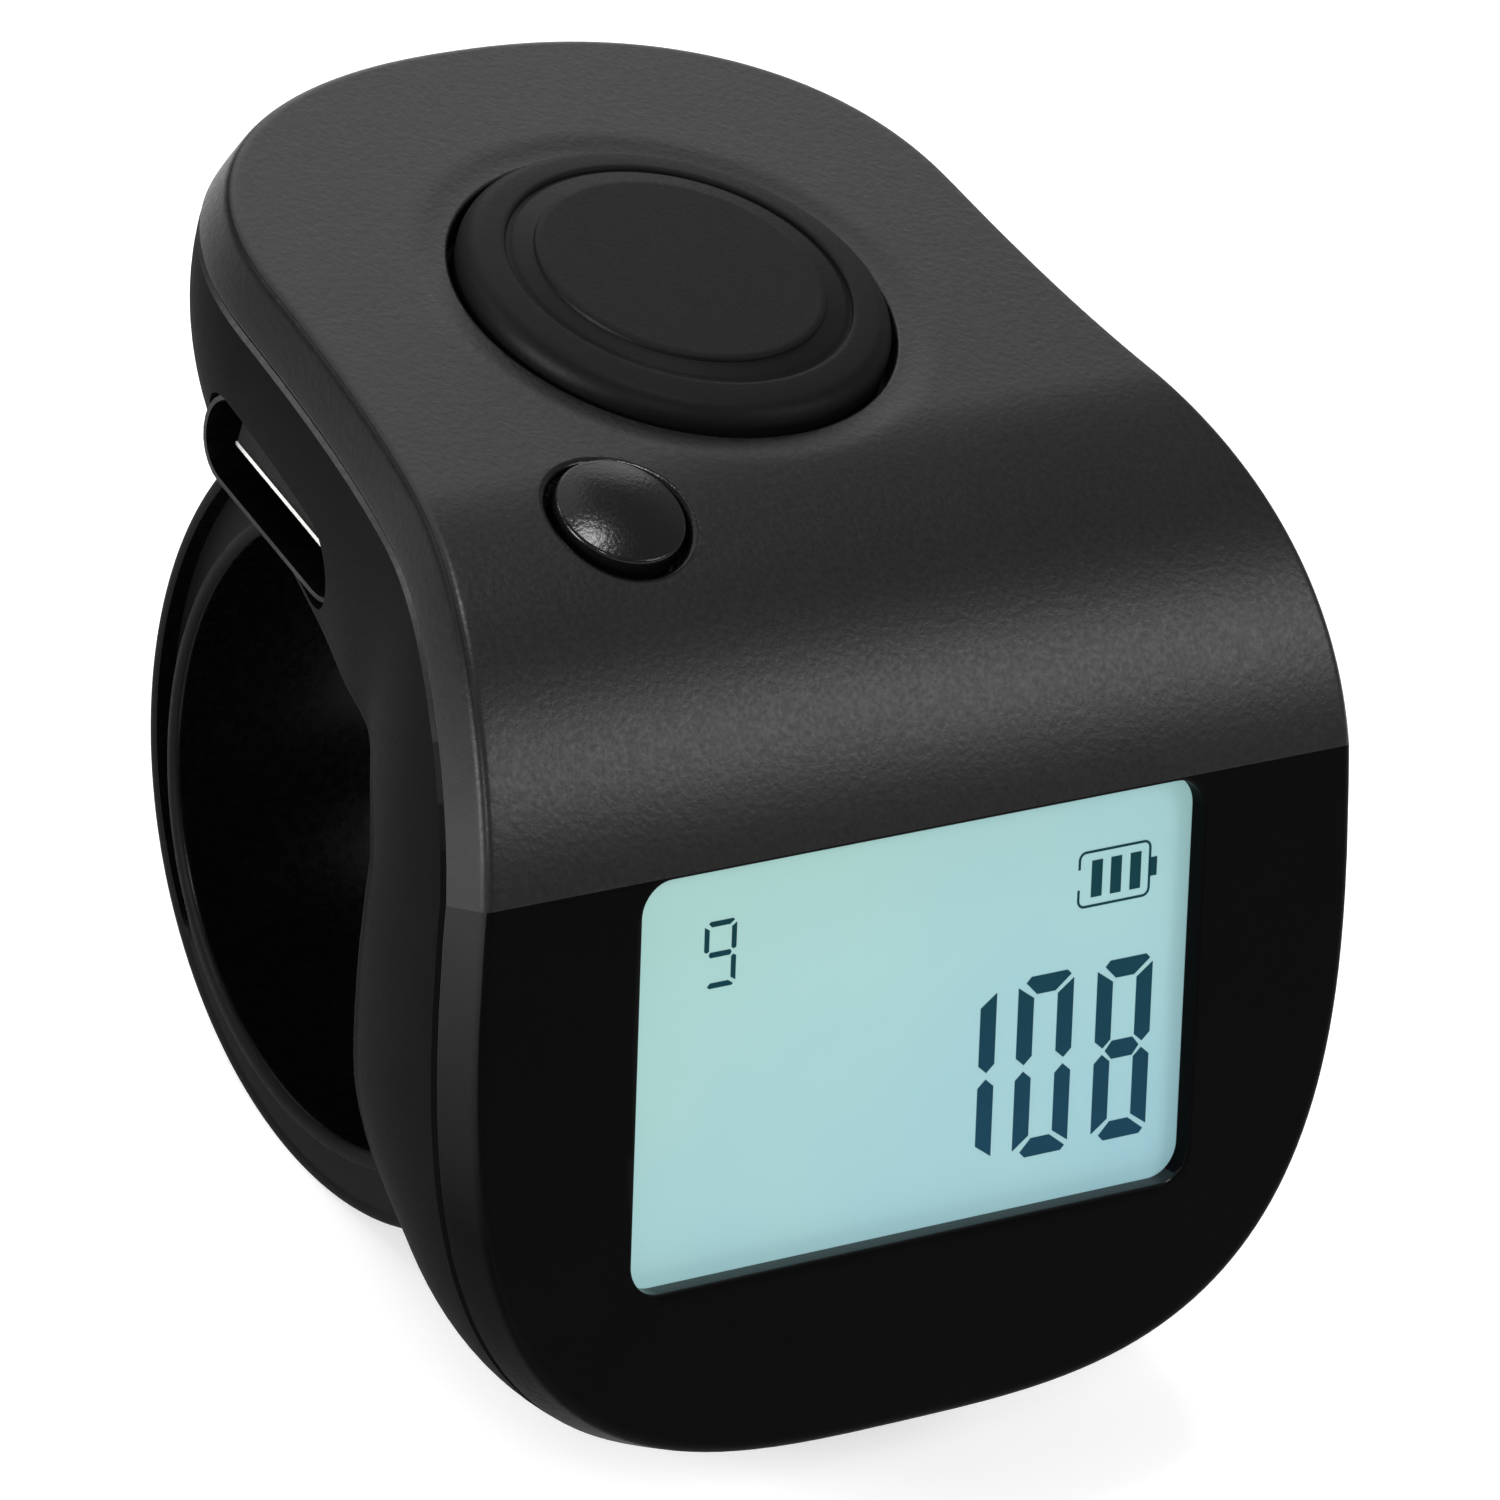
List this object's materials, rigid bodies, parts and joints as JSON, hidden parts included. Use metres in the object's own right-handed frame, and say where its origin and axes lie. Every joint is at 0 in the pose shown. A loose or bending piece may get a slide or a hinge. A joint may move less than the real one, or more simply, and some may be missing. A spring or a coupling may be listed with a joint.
{
  "type": "digital finger counter",
  "caption": "Finger-worn digital counter: hooked housing on a finger band, count key, small reset key, display and charging socket.",
  "frame": {"origin": "centre of the finger hole, on its axis, in the middle of the housing's width", "axes": "+X along the finger to the right of a reader of the display, +Y to the rear of the top face, +Z out of the top face"},
  "size_m": [0.0312, 0.0367, 0.0292],
  "materials": {
    "outer_abs": "fine spark-eroded texture, black",
    "inner_abs": "fine matte texture, black",
    "band_abs": "smooth, black",
    "count_key_abs": "matte, charcoal",
    "reset_key_abs": "polished, black",
    "board_laminate": "green solder mask",
    "switch_case": "moulded",
    "switch_stem": "moulded",
    "socket_steel": "plated sheet steel",
    "socket_insulator": "moulded",
    "battery_pouch": "laminated pouch",
    "foam_tape": "foam tape",
    "lead_red": "sleeve",
    "lead_black": "sleeve",
    "ribbon_film": "polyimide film",
    "lcd_film": "pale cyan polarising film, lit from behind",
    "lcd_glass": "clear",
    "light_panel": "milky acrylic",
    "led_resin": "white package",
    "frame_white": "moulded, white",
    "elastomer": "striped silicone",
    "chip_epoxy": "black epoxy",
    "capacitor_ceramic": "ceramic",
    "screw_zinc": "zinc plated"
  },
  "bodies": {
    "housing": {"backlight_led_1": "led_resin", "backlight_led_2": "led_resin", "backlight_panel": "light_panel", "battery_cell": "battery_pouch", "battery_lead_black": "lead_black", "battery_lead_red": "lead_red", "battery_tape": "foam_tape", "board_ribbon": "ribbon_film", "capacitor_1": "capacitor_ceramic", "capacitor_2": "capacitor_ceramic", "capacitor_3": "capacitor_ceramic", "capacitor_4": "capacitor_ceramic", "charger_chip": "chip_epoxy", "contact_strip": "elastomer", "controller_chip": "chip_epoxy", "count_switch_body": "switch_case", "display_board": "board_laminate", "display_board_screw_1": "screw_zinc", "display_board_screw_2": "screw_zinc", "display_board_screw_3": "screw_zinc", "display_board_screw_4": "screw_zinc", "finger_band": "band_abs", "inner_shell": "inner_abs", "key_board": "board_laminate", "key_board_screw_1": "screw_zinc", "key_board_screw_2": "screw_zinc", "key_board_screw_3": "screw_zinc", "lcd_frame": "frame_white", "lcd_front_film": "lcd_film", "lcd_glass": "lcd_glass", "outer_shell": "outer_abs", "reset_switch_body": "switch_case", "usb_shell": "socket_steel", "usb_tongue": "socket_insulator"},
    "count_key": {"count_button": "count_key_abs"},
    "count_stem": {"count_switch_stem": "switch_stem"},
    "reset_key": {"reset_button": "reset_key_abs"},
    "reset_stem": {"reset_switch_stem": "switch_stem"}
  },
  "joints": [
    {"name": "count_press", "type": "slide", "parent": "housing", "child": "count_key", "axis": [0, 0, -1], "range_m": [0, 0.0003], "stiffness_N_per_m": 300},
    {"name": "count_stem_press", "type": "slide", "parent": "housing", "child": "count_stem", "axis": [0, 0, -1], "range_m": [0, 0.0003]},
    {"name": "reset_press", "type": "slide", "parent": "housing", "child": "reset_key", "axis": [0, 0.184, -0.9829], "range_m": [0, 0.00025], "stiffness_N_per_m": 200},
    {"name": "reset_stem_press", "type": "slide", "parent": "housing", "child": "reset_stem", "axis": [0, 0, -1], "range_m": [0, 0.00025]}
  ],
  "couplings": [
    {"joint": "count_stem_press", "follows": "count_press", "ratio": 1},
    {"joint": "reset_stem_press", "follows": "reset_press", "ratio": 0.98294}
  ]
}
